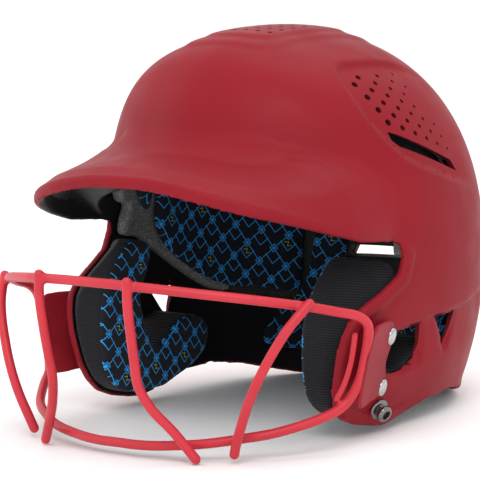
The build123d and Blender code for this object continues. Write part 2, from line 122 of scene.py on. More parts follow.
# ------------ what lies inside, mm
LINER_START = WALL + 0.3
LINER_END = 13.0
LINER_FRONT_Y = -31.0    # where the side pieces meet the front one
LINER_REAR_Y = 86.0      # where they meet the rear one
LINER_CROWN_Z = 186.5    # where all of them meet the crown piece
LINER_SPLIT = 0.5        # half the gap there
LINER_ROUND = 1.5
CHANNEL_FLOOR = 3        # foam left under the air channel of the side panels
PAD_START = 13.3
PAD_THICKNESS = 8.5
PAD_ROUND = 8.0
CROWN_PAD_R = 52.0
PRINT_EDGE = 2.5         # the print stops this far down the pads' sides
EAR_PAD_START = 3.9
EAR_PAD_RIM = 2.0        # the pads start this far behind the flaps' edges
EAR_PAD_INNER_X = 75.0   # from the centre plane to the ear pads' inner faces
SIDE_PAD_FROM_X = 55.0   # the side pads run round the back to here
LINING_START = BRIM_WALL + 0.3
LINING_END = BRIM_WALL + 1.7
LINING_INSET = 10.0      # from the brim's edge
SIDE_X = 30.0            # what is cut in the sides starts this far from the centre plane
EAR_SIDE_X = 60.0        # and what is cut in the flaps
BACK_Y = 90.0            # what is cut in the back, or lies there, starts here
BACK_SLOT_Y = 60.0
FAR_X = 200.0            # past the helmet's sides, for cutters
FAR_Y = 250.0            # and past its back

# ------------ outlines, mm
# Half of the lip in plan (x, y), from the flap to the middle of the front.
LIP_HALF = [(115, -4), (114, -38), (110, -59), (102.5, -76), (92, -90), (81, -101), (66, -110), (49, -116),
            (27, -119), (0, -120)]
# (y, z) outlines seen from the side.
UNDER_THE_LIP = [(60, 112), (-4, 112), (-38, 116.5), (-59, 123), (-76, 129), (-125, 146), (-170, 146),
                 (-170, -30), (60, -30)]
DOME_KEEP = [(-200, 163), (-100, 163), (-75, 152), (-40, 132), (-12, 117), (-3, 111.5), (-1, 105),
             (-6, 94.6), (-20, 87), (-37.8, 79), (-46, 72), (-50.5, 62), (-52.3, 50), (-51, 31), (-47, 21),
             (-40, 13), (-28, 8), (-12.6, 4.5), (-1.6, 3), (11.4, 5), (40, 11.5), (52, 11.5), (66, 12.7),
             (88, 9), (104, 4), (117, 0.2), (135, 0), (200, 0), (200, 300), (-200, 300)]
EAR_HOLE = [(-19, 42), (-15, 37.5), (-6, 35.5), (3, 36), (13, 41.5), (16, 51), (15, 62), (-13, 60.5),
            (-20, 52)]
EAR_HOLE_BEVEL = [(-20.8, 45.6), (-17.5, 38), (-8, 35), (2, 34.3), (19.5, 37.2), (21.5, 50.6), (16.3, 63),
                  (-13, 62.5), (-21, 56)]
TRIANGLE = [(30, 63.5), (52, 64), (42, 45)]
TRIANGLE_BEVEL = [(28, 65), (57.5, 65), (44.6, 41), (40.5, 41.5)]
SIDE_SLOT = [(12, 174), (12.5, 169), (17, 165), (67, 145), (63, 152), (18, 172)]
SIDE_PANEL = [(6, 213), (-1, 207), (-3, 197), (-2, 184), (3, 173), (9, 164), (20, 154), (53, 141),
              (81, 133), (120, 128), (118, 165), (90, 198), (53, 211), (21, 214)]
# The ridge over the ear, which the recess round the ear hole starts from.
EAR_RIDGE = [(-22, 60), (-14, 62.5), (9, 63.8), (31, 66.2), (54, 67), (80, 69.5), (120, 74)]
# (x, z) outlines seen from the back.
REAR_VENT = [(-36, 74.5), (36, 74.5), (33, 81.5), (-33, 81.5)]
REAR_SLOT = [(46, 144), (81, 144), (81, 151), (50, 151)]
# (x, y) outlines seen from above.
CROWN_LOW = [(-28, -20), (28, -20), (36, 10), (36, 72), (18, 88), (-18, 88), (-36, 72), (-36, 10)]
CROWN_HIGH = [(-20, -9), (20, -9), (27, 12), (27, 60), (14, 73), (-14, 73), (-27, 60), (-27, 12)]

LINER = [(-140, 166), (-75, 158), (-45, 148), (-33, 144), (-25, 135), (-14, 133), (-2, 124), (7, 121),
         (4, 112), (3, 104), (8, 101), (21, 98), (47, 79), (71, 61), (84, 56), (110, 50), (170, 48),
         (170, 260), (-140, 260)]
FOREHEAD_PAD = [(-140, 171), (-75, 166), (-45, 160), (-20, 150), (2, 139), (4, 129), (16, 115), (22, 120),
                (26, 150), (26, 186), (-140, 186)]
SIDE_PAD = [(27, 128), (25, 110), (32, 93), (53, 74), (68, 64), (80, 59), (95, 56.5), (140, 56), (140, 150),
            (110, 168), (60, 177), (30, 177)]
EAR_PAD = [(-4, 99), (-18, 104), (-28, 101), (-44, 84.5), (-50.5, 71), (-53, 58), (-53.5, 45), (-52, 31),
           (-45, 19.5), (-30, 11.5), (-2, 9), (14, 13), (30, 18), (43, 26), (48, 38), (42, 47), (30, 51),
           (18, 48), (10, 43), (0, 38), (-6, 38), (-10, 45), (-14, 60), (-15, 70), (-8, 84)]
REAR_PAD = [(-60, 17), (60, 17), (66, 45), (56, 58), (50, 97), (40, 101), (30, 99), (28, 60), (0, 55),
            (-28, 60), (-30, 99), (-40, 101), (-50, 97), (-56, 58), (-66, 45)]

# ------------ guard and fasteners, mm
WIRE_R = 2.85
THIN_WIRE_R = 1.7
WELD = 2.0
LOOP_HALF = [(0, -151.2, 103.9), (34, -149, 103.2), (62, -136, 99.8), (90, -115.5, 94.8), (112, -92, 88.8),
             (121, -76, 84), (125.3, -62, 79.5), (126, -54, 72), (123, -53.5, 56), (119, -55.5, 40),
             (113, -61, 28), (106, -74, 21.5), (91, -94, 15.8), (75, -107, 12.8), (54, -119.5, 9.8),
             (24, -127.5, 7.4), (0, -129, 7.2)]
OUTER_BAR = [(115.5, -93.5, 91), (109.2, -104, 79), (103.8, -110, 68), (98.5, -114, 57), (93.5, -117, 46),
             (88.7, -118.5, 35), (84, -118.6, 24), (79, -117.6, 13), (76, -116.5, 5.5)]
INNER_BAR = [(33.1, -152.5, 106), (33.2, -152.8, 91.6), (33, -151, 76), (32.6, -148.5, 60),
             (32.4, -146, 46), (37.5, -141, 32), (46.5, -134, 19), (57, -127.6, 2.9)]
SIDE_WIRE = [(120.2, -58.8, 68), (117.4, -59.2, 54), (113.8, -61, 41), (109.8, -64.5, 31)]
PLATE_SEAT = (113.8, -20.0, 61.0)
PLATE_NORMAL = Vector((1, 0.33, -0.26)).normalized()
PLATE_OUTLINE = [(-5, 1), (-1.5, 8), (12, 12), (34, 9.5), (37.5, -31), (19, -36), (-7, -35), (-3, -22.5),
                 (0, -15), (-5.5, -4)]
PLATE = 2.0
PLATE_SKIN = 0.2         # its paint, on each side
LOWER_SCREW_DOWN = 31.5
SNAP_SEAT = Vector((99.2, -12.1, 15.0))
SNAP_NORMAL = Vector((1, -0.15, -0.45)).normalized()


# ------------ small maths
def smooth01(t):
    """0 to 1 with flat ends."""
    t = np.clip(t, 0, 1)
    return t * t * (3 - 2 * t)


def fade(value, start, end):
    """0 up to start and 1 past end, smooth between them. The end may be the lower one."""
    return smooth01((value - start) / (end - start))


def join(a, b, k):
    """Union of two distances, with a fillet of about k."""
    h = np.clip(k - np.abs(a - b), 0, None) / k
    return np.minimum(a, b) - h * h * k / 4


def meet(a, b, k):
    """Intersection of two distances, with a rounded edge of about k."""
    return -join(-a, -b, k)


def rounded(points, steps=6, closed=True):
    """A smooth curve through the points."""
    p = list(np.array(points, float))
    p = [p[-1], *p, p[0], p[1]] if closed else [p[0], *p, p[-1]]
    out = []
    for a, b, c, d in zip(p, p[1:], p[2:], p[3:]):
        for step in range(steps):
            t = step / steps
            out.append(0.5 * (2 * b + (c - a) * t + (2 * a - 5 * b + 4 * c - d) * t**2
                              + (3 * b - a - 3 * c + d) * t**3))
    if not closed:
        out.append(p[-1])
    return np.array(out)


def outline_distance(points, u, v):
    """Signed distance to a closed outline, negative inside."""
    best = np.full(np.broadcast(u, v).shape, 1e9)
    inside = np.zeros(best.shape, bool)
    p = np.asarray(points, float)
    for (u0, v0), (u1, v1) in zip(p, np.roll(p, -1, axis=0)):
        du, dv = u1 - u0, v1 - v0
        t = np.clip(((u - u0) * du + (v - v0) * dv) / (du * du + dv * dv), 0, 1)
        best = np.minimum(best, (u - u0 - t * du)**2 + (v - v0 - t * dv)**2)
        if v0 != v1:
            inside ^= ((v0 > v) != (v1 > v)) & (u < (v - v0) * du / dv + u0)
    best = np.sqrt(best)
    return np.where(inside, -best, best)


# ------------ grids and surfaces
class Grid:
    """A regular grid over the left half; everything on it is mirrored to the right."""

    def __init__(self, low, high, step):
        self.step = step
        self.x = np.arange(step / 2 + max(0, math.floor(low[0] / step)) * step, high[0], step)
        self.y = np.arange(low[1], high[1], step)
        self.z = np.arange(low[2], high[2], step)
        self.low = np.array([self.x[0], self.y[0], self.z[0]])
        self.X = self.x[:, None, None]
        self.Y = self.y[None, :, None]
        self.Z = self.z[None, None, :]

    def distance(self, f):
        """Turns a smooth field into a distance near its zero level."""
        gx, gy, gz = np.gradient(f, self.step)
        return f / np.maximum(np.sqrt(gx * gx + gy * gy + gz * gz), 1e-6)

    def side(self, outline):
        """Distance to a (y, z) outline."""
        return outline_distance(outline, self.y[:, None], self.z[None, :])[None]

    def back(self, outline):
        """Distance to an (x, z) outline."""
        return outline_distance(outline, self.x[:, None], self.z[None, :])[:, None, :]

    def plan(self, outline):
        """Distance to an (x, y) outline."""
        return outline_distance(outline, self.x[:, None], self.y[None, :])[:, :, None]


def sample(field, low, step, points):
    """Reads a field between its grid points."""
    g = (points - low) / step
    g = np.clip(g, 0, np.array(field.shape) - 1.001)
    i = g.astype(int)
    f = g - i
    total = 0
    for dx, dy, dz in itertools.product((0, 1), repeat=3):
        weight = (np.where(dx, f[:, 0], 1 - f[:, 0]) * np.where(dy, f[:, 1], 1 - f[:, 1])
                  * np.where(dz, f[:, 2], 1 - f[:, 2]))
        total = total + weight * field[i[:, 0] + dx, i[:, 1] + dy, i[:, 2] + dz]
    return total


CORNERS = list(itertools.product((0, 1), repeat=3))
EDGES = [(a, b) for a, b in itertools.combinations(range(8), 2)
         if sum(abs(CORNERS[a][i] - CORNERS[b][i]) for i in range(3)) == 1]


def surface(field, low, step, relax=3):
    """Vertices and quads of the field's zero level, relaxed along the surface."""
    inside = field < 0
    nx, ny, nz = (n - 1 for n in field.shape)
    corner = [inside[i:nx + i, j:ny + j, k:nz + k] for i, j, k in CORNERS]
    count = sum(c.astype(np.uint8) for c in corner)
    cells = np.argwhere((count > 0) & (count < 8))
    index = np.full((nx, ny, nz), -1, np.int32)
    index[tuple(cells.T)] = np.arange(len(cells))
    value = np.stack([field[cells[:, 0] + i, cells[:, 1] + j, cells[:, 2] + k] for i, j, k in CORNERS], 1)
    place = np.zeros((len(cells), 3))
    hits = np.zeros(len(cells))
    for a, b in EDGES:
        va, vb = value[:, a], value[:, b]
        cross = (va < 0) != (vb < 0)
        t = np.where(cross, va / np.where(cross, va - vb, 1), 0)
        at = np.array(CORNERS[a]) + t[:, None] * (np.array(CORNERS[b]) - np.array(CORNERS[a]))
        place += np.where(cross[:, None], at, 0)
        hits += cross
    points = (cells + place / hits[:, None]) * step + low
    quads = []
    for axis in range(3):
        u, v = (axis + 1) % 3, (axis + 2) % 3
        here = np.moveaxis(inside, (axis, u, v), (0, 1, 2))
        ids = np.moveaxis(index, (axis, u, v), (0, 1, 2))
        change = np.argwhere(here[:-1, 1:-1, 1:-1] != here[1:, 1:-1, 1:-1])
        i, j, k = change[:, 0], change[:, 1] + 1, change[:, 2] + 1
        quad = np.stack([ids[i, j - 1, k - 1], ids[i, j, k - 1], ids[i, j, k], ids[i, j - 1, k]], 1)
        flip = ~here[i, j, k]
        quad[flip] = quad[flip][:, ::-1]
        quads.append(quad)
    quads = np.concatenate(quads)
    for _ in range(relax):
        points = relax_points(points, quads, field, low, step)
    return points, quads


def relax_points(points, quads, field, low, step):
    """Evens the mesh out and puts its points back on the surface."""
    a = quads.ravel()
    b = np.roll(quads, 1, axis=1).ravel()
    number = len(points)
    degree = np.bincount(a, minlength=number) + np.bincount(b, minlength=number)
    mean = np.stack([np.bincount(a, points[b, i], number) + np.bincount(b, points[a, i], number)
                     for i in range(3)], 1) / degree[:, None]
    points = 0.5 * points + 0.5 * mean
    for _ in range(2):
        here = sample(field, low, step, points)
        slope = np.stack([sample(field, low, step, points + np.eye(3)[i] * step * 0.5)
                          - sample(field, low, step, points - np.eye(3)[i] * step * 0.5)
                          for i in range(3)], 1) / step
        size = np.maximum((slope**2).sum(1), 0.05)
        move = np.clip(-here / size, -step, step)[:, None] * slope
        points = points + move
    return points


def solid_mesh(name, grid, field, sides="both", facts=None, relax=3):
    """Makes an object from a half-grid field. sides: both halves in one, left or right."""
    field = field.copy()
    field[:, [0, -1]] = np.abs(field[:, [0, -1]]) + 0.01
    field[:, :, [0, -1]] = np.abs(field[:, :, [0, -1]]) + 0.01
    field[-1] = np.abs(field[-1]) + 0.01
    whole, low = field, grid.low
    if sides == "both":
        whole = np.concatenate([field[::-1], field])
        low = np.array([-grid.x[-1], grid.y[0], grid.z[0]])
    points, quads = surface(whole, low, grid.step, relax)
    folded = points * np.where(points[:, :1] < 0, [[-1, 1, 1]], [[1, 1, 1]])
    read = {key: sample(np.broadcast_to(value, field.shape), grid.low, grid.step, folded)
            for key, value in (facts or {}).items()}
    if sides == "right":
        points = points * [-1, 1, 1]
        quads = quads[:, ::-1]
    obj = new_object(name, points * MM, quads)
    for key, value in read.items():
        attribute = obj.data.attributes.new(key, "FLOAT", "POINT")
        attribute.data.foreach_set("value", value.astype(np.float32))
    return obj


def linked(name, data):
    """An object of its own for a mesh, lamp or camera."""
    obj = bpy.data.objects.new(name, data)
    bpy.context.collection.objects.link(obj)
    return obj


def new_object(name, points, faces):
    """An object from arrays of points and equal-sided faces, shaded smooth."""
    mesh = bpy.data.meshes.new(name)
    faces = np.asarray(faces)
    sides = faces.shape[1]
    mesh.vertices.add(len(points))
    mesh.vertices.foreach_set("co", np.asarray(points, np.float32).ravel())
    mesh.loops.add(faces.size)
    mesh.loops.foreach_set("vertex_index", faces.astype(np.int32).ravel())
    mesh.polygons.add(len(faces))
    mesh.polygons.foreach_set("loop_start", np.arange(0, faces.size, sides, dtype=np.int32))
    mesh.polygons.foreach_set("loop_total", np.full(len(faces), sides, np.int32))
    mesh.update(calc_edges=True)
    mesh.validate()
    mesh.shade_smooth()
    return linked(name, mesh)


GIRTH_R = 0.105          # metres, the radius that the dome is unrolled at


def cloth_coordinates(obj, flat=False):
    """Stores where each point lies on the unrolled dome, along its girth and up it, or on a flat side."""
    co = np.zeros(len(obj.data.vertices) * 3)
    obj.data.vertices.foreach_get("co", co)
    co = co.reshape(-1, 3)
    x, y, z = co[:, 0], co[:, 1] - CENTRE_Y * MM, co[:, 2]
    girth = y if flat else np.arctan2(np.abs(x), -y) * GIRTH_R
    side = np.sign(x)
    out = np.stack([girth * side, z, np.zeros(len(z))], 1)
    attribute = obj.data.attributes.new("cloth", "FLOAT_VECTOR", "POINT")
    attribute.data.foreach_set("vector", out.astype(np.float32).ravel())


def change_with(obj, kind, **settings):
    """Applies one modifier."""
    modifier = obj.modifiers.new(kind.title(), kind)
    for key, value in settings.items():
        setattr(modifier, key, value)
    bpy.context.view_layer.objects.active = obj
    with bpy.context.temp_override(object=obj, active_object=obj, selected_objects=[obj]):
        bpy.ops.object.modifier_apply(modifier=modifier.name)


def finish_piece(obj, material, nodes):
    """Material, body and CAD nodes of one piece: the nodes it stands for are hidden."""
    obj.data.materials.clear()
    obj.data.materials.append(material)
    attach(obj, BODY)
    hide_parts(*nodes)


# ------------ the shell's shape
class Helmet(Grid):
    """A grid that knows the distances to the shell's dome, the brim's arch and, in plan, its lip."""

    def __init__(self, low, high, step):
        super().__init__(low, high, step)
        x, y, z = self.X, self.Y, self.Z
        low_part = np.clip((BELT_Z - z) / BELT_Z, 0, 1.2)
        high_part = np.clip((z - BELT_Z) / CROWN_RISE, 0, None)
        half_width = HALF_WIDTH - SIDE_TUCK * low_part**SIDE_TUCK_POWER
        ahead = y < CENTRE_Y
        above_brim = fade(z, *ABOVE_BRIM_Z)
        front_length = FRONT_LENGTH - FRONT_SLIM * above_brim
        rear_length = REAR_LENGTH - NAPE_TUCK * low_part**NAPE_TUCK_POWER
        length = np.where(ahead, front_length, rear_length)
        front_power = PLAN_POWER + FLAP_SQUARENESS * fade(z, *FLAP_SQUARE_Z)
        power = np.where(ahead, front_power - FRONT_ROUNDNESS * above_brim, PLAN_POWER)
        plan = ((x / half_width)**power + (np.abs(y - CENTRE_Y) / length)**power)**(1 / power)
        fullness = DOME_POWER + FRONT_FULLNESS * fade(y, *FULL_FRONT_Y)
        self.dome = self.distance((plan**fullness + high_part**fullness)**(1 / fullness) - 1)
        spring = BRIM_SPRING[1] + BRIM_SLOPE * (y - BRIM_SPRING[0])
        rise = np.clip(z - spring, 0, None) / BRIM_RISE
        across = x / BRIM_HALF_WIDTH
        arch = self.distance((across**BRIM_POWER + rise**BRIM_POWER)**(1 / BRIM_POWER) - 1)
        self.lip = self.plan(lip_outline())
        self.arch = arch + BRIM_DIP * np.clip(-self.lip - BRIM_DIP_FROM, 0, BRIM_DIP_REACH)

    def alike(self):
        """Cosine of the angle between the dome's and the brim's surfaces."""
        a, b = (np.stack(np.gradient(f, self.step)) for f in (self.dome, self.arch))
        lengths = np.sqrt((a * a).sum(0) * (b * b).sum(0))
        return (a * b).sum(0) / np.maximum(lengths, 1e-6)


def lip_outline():
    """The brim's edge in plan, closed straight across behind it."""
    half = LIP_HALF + [(-x, y) for x, y in LIP_HALF[-2::-1]]
    return rounded(half, 4, closed=False)


def window(value, low, high, soft):
    """1 between low and high, fading out over soft on both sides."""
    return smooth01((value - low) / soft + 1) * smooth01((high - value) / soft + 1)


def relief(g):
    """How far the shell's skin stands out of the plain dome, in mm."""
    x, y, z = g.X, g.Y, g.Z
    step = fade(z, *CROWN_STEP_Z) * CROWN_STEP
    crown = step * smooth01(-g.plan(rounded(CROWN_LOW)) / CROWN_LOW_SLOPE + 0.3)
    crown = crown + step * smooth01(-g.plan(rounded(CROWN_HIGH)) / CROWN_HIGH_SLOPE + 0.3)
    crown = crown + FRONT_RISE * fade(z, *FRONT_RISE_Z) * fade(y, *FRONT_RISE_Y)
    panel = fade(g.side(rounded(SIDE_PANEL, 3)), *PANEL_SLOPE) * fade(x, *PANEL_X)
    panel = -PANEL_DEPTH * panel * (1 - fade(y, *PANEL_FADE_Y))
    below = np.interp(g.y, *np.transpose(EAR_RIDGE))[None, :, None] - z
    ear = fade(below, *EAR_STEP) * (1 - fade(below, *EAR_FADE)) * window(y, *EAR_Y, EAR_END)
    edge = g.side(DOME_KEEP)
    groove = GROOVE * np.exp(-((edge + GROOVE_AT) / GROOVE_WIDTH)**2)
    band = BAND * smooth01((edge + BAND_WIDTH) / BAND_SLOPE) - groove
    band = band * (fade(z, *FLAP_Z) * fade(y, *FLAP_Y))
    hem = fade(z, *HEM_Z) * fade(y, *HEM_Y)
    return crown + panel - EAR_DEPTH * ear * fade(x, *EAR_X) + band + HEM * hem


def shell_field(g):
    """The moulded shell, and which of its faces are black inside or hidden behind the liner."""
    skin = relief(g)
    edge = g.side(DOME_KEEP)
    lip = g.lip
    under = g.side(UNDER_THE_LIP)
    thick = BRIM_WALL + (LIP_HEIGHT - BRIM_WALL) * fade(lip, *LIP_STEP)
    crest = LIP_CREST * fade(lip, *LIP_CREST_STEP)
    sink = BRIM_SINK * np.clip(g.Y - BRIM_SINK_Y, 0, None)
    brim_top = np.maximum(np.maximum(g.arch + sink - crest, -under), g.Y - BRIM_END_Y)
    fillet = BRIM_FILLET * np.maximum(smooth01((SHARP_JOIN - g.alike()) / SHARP_JOIN_SPAN), 0.1)
    under_brim = meet(meet(lip, -under, LIP_ROUND), -(g.arch + thick), 1.0)
    outside = join(g.dome - skin, brim_top, fillet)
    solid = meet(outside, join(edge, under_brim, FLAP_EDGE_ROUND), SHELL_ROUND)
    cavity = g.dome + WALL - np.minimum(skin, 0)
    solid = meet(solid, -cavity, 1.0)
    through = np.clip((g.dome + WALL) / WALL, 0, 1)
    outer_side = fade(g.X, EAR_SIDE_X, EAR_SIDE_X + 5)
    for hole, bevel, power in ((EAR_HOLE, EAR_HOLE_BEVEL, 1.0), (TRIANGLE, TRIANGLE_BEVEL, 0.7)):
        cut = (1 - through**power) * g.side(hole) + through**power * g.side(bevel)
        cut = np.maximum(cut + 8 * (1 - outer_side), -(g.dome + WALL - WINDOW_FLOOR))
        solid = meet(solid, -cut, WINDOW_ROUND)
    inner = -(g.dome - np.minimum(skin, 0) + WALL - 0.5)
    lining = np.minimum(np.minimum(-(g.arch + 1.5), -(lip + 3)), under + 1.5)
    lining = np.minimum(lining, np.maximum(-(g.dome + 0.6), edge + 2))
    rim = np.minimum(-edge - 7, g.side(EAR_HOLE_BEVEL) - 5)
    rim = np.minimum(rim, np.minimum(g.side(TRIANGLE_BEVEL), g.side(SIDE_SLOT)) - 5)
    hidden = np.maximum(np.minimum(inner - 0.1, rim), np.minimum(lining - 2, g.dome - 4))
    return solid, {"inside": np.maximum(inner, lining), "hidden": hidden}


HIDDEN_SHARE = 0.18      # kept of the triangles that the liner hides


def make_shell():
    g = Helmet((0, -160, -6), (134, 170, 244), 1.85)
    field, facts = shell_field(g)
    shell = solid_mesh("shell_moulding", g, field, facts=facts, relax=5)
    thin_out(shell, HIDDEN_SHARE)
    pierce(shell)
    finish_piece(shell, shell_paint(), ["shell"])


def thin_out(obj, share):
    """Keeps only a share of the triangles that the liner hides."""
    mesh = obj.data
    hidden = np.zeros(len(mesh.vertices))
    mesh.attributes["hidden"].data.foreach_get("value", hidden)
    group = obj.vertex_groups.new(name="hidden")
    group.add(np.flatnonzero(hidden > 0).tolist(), 1.0, "REPLACE")
    kept = 1 - (1 - share) * np.mean(hidden > 0)
    change_with(obj, "TRIANGULATE")
    change_with(obj, "DECIMATE", ratio=kept, vertex_group="hidden", vertex_group_factor=20.0)
    obj.vertex_groups.clear()


def tube_faces(count):
    """Faces of a closed tube between two rings of points."""
    around = [(i, (i + 1) % count, count + (i + 1) % count, count + i) for i in range(count)]
    return around + [tuple(range(count))[::-1], tuple(range(count, 2 * count))]


def prism(outline, axis, start, end):
    """Points and faces of a cutter: an outline run along the axis, X or Y, from start to end."""
    along_x = axis == "X"
    points = [Vector((w, u, v) if along_x else (u, w, v)) for w in (start, end) for u, v in outline]
    faces = tube_faces(len(outline))
    u, v = np.transpose(outline)
    turns_up = (np.sum(u * np.roll(v, -1) - np.roll(u, -1) * v) > 0) == along_x
    if turns_up != (end > start):
        faces = [face[::-1] for face in faces]
    return points, faces


def drill(obj, origin, direction, radius, depth=8, sides=24):
    """A round hole's cutter, square to the surface that a ray from outside meets, or none if it misses."""
    hit, place, normal, _ = obj.ray_cast(Vector(origin) * MM, Vector(direction))
    if not hit:
        return []
    centre = place / MM
    turn = normal.to_track_quat("Z", "Y").to_matrix()
    ring = [(radius * math.cos(a), radius * math.sin(a)) for a in np.arange(sides) * math.tau / sides]
    points = [centre + turn @ Vector((u, v, h)) for h in (-depth, depth) for u, v in ring]
    return [(points, tube_faces(sides))]


# The side panels' holes lie on a slanted lattice of (y, z) steps and shrink away from the front edge.
HOLES_UP = [(3, 4), (2, 5), (1, 6), (0, 5), (0, 3), (0, 2), (0, 2), (0, 1), (0, 0)]
FIRST_HOLE = (-12.8, 191.3)
UP_STEP = (7.5, 3.3)
DOWN_STEP = (9.6, -4.1)
SIDE_HOLE_R = 2.1
SIDE_HOLE_SHRINK = 0.24  # for each step past the third
CROWN_HOLE_R = 1.6
CROWN_HOLES = (5, 6)     # across and along
CROWN_HOLE_PITCH = (9.0, 11.0)
CROWN_HOLES_Y = 30.0     # the middle of the crown panel's holes


def side_holes():
    """(y, z, radius) of the holes in the left side panel."""
    for down, (first, last) in enumerate(HOLES_UP):
        for up in range(first, last + 1):
            y = FIRST_HOLE[0] + up * UP_STEP[0] + down * DOWN_STEP[0]
            z = FIRST_HOLE[1] + up * UP_STEP[1] + down * DOWN_STEP[1]
            yield y, z, SIDE_HOLE_R - SIDE_HOLE_SHRINK * max(up + down - 3, 0)


def crown_holes():
    """(x, y) of the holes in the crown panel."""
    across, along = CROWN_HOLES
    for column in range(across):
        for row in range(along):
            x = (column - (across - 1) / 2) * CROWN_HOLE_PITCH[0]
            y = CROWN_HOLES_Y + (row - (along - 1) / 2) * CROWN_HOLE_PITCH[1]
            yield x, y


def pierce(shell):
    """Cuts the windows, slots and round air holes."""
    sides = (-1, 1)
    cutters = [prism(outline, "X", side * EAR_SIDE_X, side * FAR_X)
               for outline in (EAR_HOLE, TRIANGLE) for side in sides]
    cutters += [prism(SIDE_SLOT, "X", side * SIDE_X, side * FAR_X) for side in sides]
    cutters.append(prism(REAR_VENT, "Y", BACK_Y, FAR_Y))
    cutters += [prism([(side * x, z) for x, z in REAR_SLOT], "Y", BACK_SLOT_Y, FAR_Y) for side in sides]
    for side in sides:
        for y, z, radius in side_holes():
            cutters += drill(shell, (side * 300, y, z), (-side, 0, 0), radius)
    for x, y in crown_holes():
        cutters += drill(shell, (x, y, 400), (0, 0, -1), CROWN_HOLE_R)
    points, faces = [], []
    for ring, around in cutters:
        faces += [tuple(i + len(points) for i in face) for face in around]
        points += ring
    mesh = bpy.data.meshes.new("drill")
    mesh.from_pydata([p * MM for p in points], [], faces)
    cutter = linked("drill", mesh)
    change_with(shell, "BOOLEAN", operation="DIFFERENCE", solver="MANIFOLD", object=cutter)
    bpy.data.objects.remove(cutter)
    shell.data.shade_smooth()
    shell.data.set_sharp_from_angle(angle=math.radians(62))


# ------------ liner and pads
def layer(g, start, end):
    """Distance to the layer between two depths inside the shell."""
    return np.maximum(g.dome + start, -(g.dome + end))


# The rear and crown pieces get the foam at 0.12 of its brightness, much darker than the other pieces.
DARK_FOAM = ("liner_rear", "liner_crown")


def make_liner():
    g = Helmet((0, -150, 40), (128, 168, 236), 2.0)
    outline = g.side(rounded(LINER, 3))
    foam = meet(layer(g, LINER_START, LINER_END), outline, 2.5)
    channel = np.maximum(g.side(SIDE_PANEL) + 2, SIDE_X - g.X)
    foam = meet(foam, -np.maximum(channel, -(g.dome + LINER_END - CHANNEL_FLOOR)), LINER_ROUND)
    foam = meet(foam, -np.maximum(g.back(REAR_VENT), BACK_Y - g.Y), LINER_ROUND)
    foam = meet(foam, -np.maximum(g.side(SIDE_SLOT) - 2, SIDE_X - g.X), LINER_ROUND)
    below_crown = g.Z - (LINER_CROWN_Z - LINER_SPLIT)
    behind_front = -(g.Y - (LINER_FRONT_Y + LINER_SPLIT))
    before_rear = g.Y - (LINER_REAR_Y - LINER_SPLIT)
    cuts = {
        "liner_front": ("both", [g.Y - (LINER_FRONT_Y - LINER_SPLIT), below_crown]),
        "liner_left": ("left", [behind_front, before_rear, below_crown]),
        "liner_right": ("right", [behind_front, before_rear, below_crown]),
        "liner_rear": ("both", [-(g.Y - (LINER_REAR_Y + LINER_SPLIT)), below_crown]),
        "liner_crown": ("both", [-(g.Z - (LINER_CROWN_Z + LINER_SPLIT))]),
    }
    for node, (sides, limits) in cuts.items():
        part = foam
        for limit in limits:
            part = meet(part, np.broadcast_to(limit, foam.shape), LINER_ROUND)
        piece = solid_mesh(node + "_foam", g, part, sides)
        if node in DARK_FOAM:
            material = foam_material("liner_darkened_foam", 0.12)
        else:
            material = foam_material("liner_grey_foam", 1.0)
        finish_piece(piece, material, [node])


def pillow(g, outline):
    """A crowned pad against the liner, drawn in at its outline."""
    return meet(layer(g, PAD_START, PAD_START + PAD_THICKNESS), outline + 1.0, PAD_ROUND)


def make_pads():
    g = Helmet((0, -140, 10), (116, 150, 222), 1.6)
    side = meet(g.side(rounded(SIDE_PAD, 4)), SIDE_PAD_FROM_X - g.X, 6.0)
    front = g.side(rounded(FOREHEAD_PAD, 3))
    rear = np.maximum(g.back(rounded(REAR_PAD, 4)), BACK_Y - g.Y)
    crown = np.maximum(np.hypot(g.X, g.Y - CENTRE_Y) - CROWN_PAD_R, 150 - g.Z)
    shapes = [
        ("forehead_pad", front, "both", 0.8),
        ("side_pad_left", side, "left", 0.8),
        ("side_pad_right", side, "right", 0.8),
        ("rear_pad", rear, "both", 0.8),
        ("crown_pad", crown, "both", 0.7),
    ]
    for node, outline, sides, fill in shapes:
        field = pillow(g, np.broadcast_to(outline, g.dome.shape))
        facts = {"printed": -(g.dome + PAD_START + PRINT_EDGE)}
        pad = solid_mesh(node + "_cloth", g, field, sides, facts, relax=4)
        cloth_coordinates(pad)
        finish_piece(pad, printed_cloth(), [node])
    outline = g.side(rounded(EAR_PAD, 3))
    inner = EAR_PAD_INNER_X - g.X
    wall = g.dome + EAR_PAD_START
    behind_rim = g.side(DOME_KEEP) + EAR_PAD_RIM - np.clip(-wall, 0, None)
    field = meet(meet(wall, np.maximum(outline + 0.3, behind_rim), 3.0), inner - 0.6, 5.0)
    facts = {"printed": inner + PRINT_EDGE}
    for label in ("left", "right"):
        pad = solid_mesh(f"ear_pad_{label}_cloth", g, field, label, facts, relax=4)
        cloth_coordinates(pad, flat=True)
        finish_piece(pad, ear_pad_cloth(), [f"ear_pad_{label}"])


def make_brim_lining():
    g = Helmet((0, -160, 100), (122, 10, 170), 1.5)
    under = g.side(UNDER_THE_LIP)
    sheet = np.maximum(g.arch + LINING_START, -(g.arch + LINING_END))
    field = meet(meet(sheet, g.lip + LINING_INSET, 1.0), -(under - 1.0), 1.0)
    field = meet(field, -(g.dome - 0.5), 1.0)
    lining = solid_mesh("brim_underside", g, field)
    finish_piece(lining, black_plastic("brim_black", 0.42), ["brim_lining"])


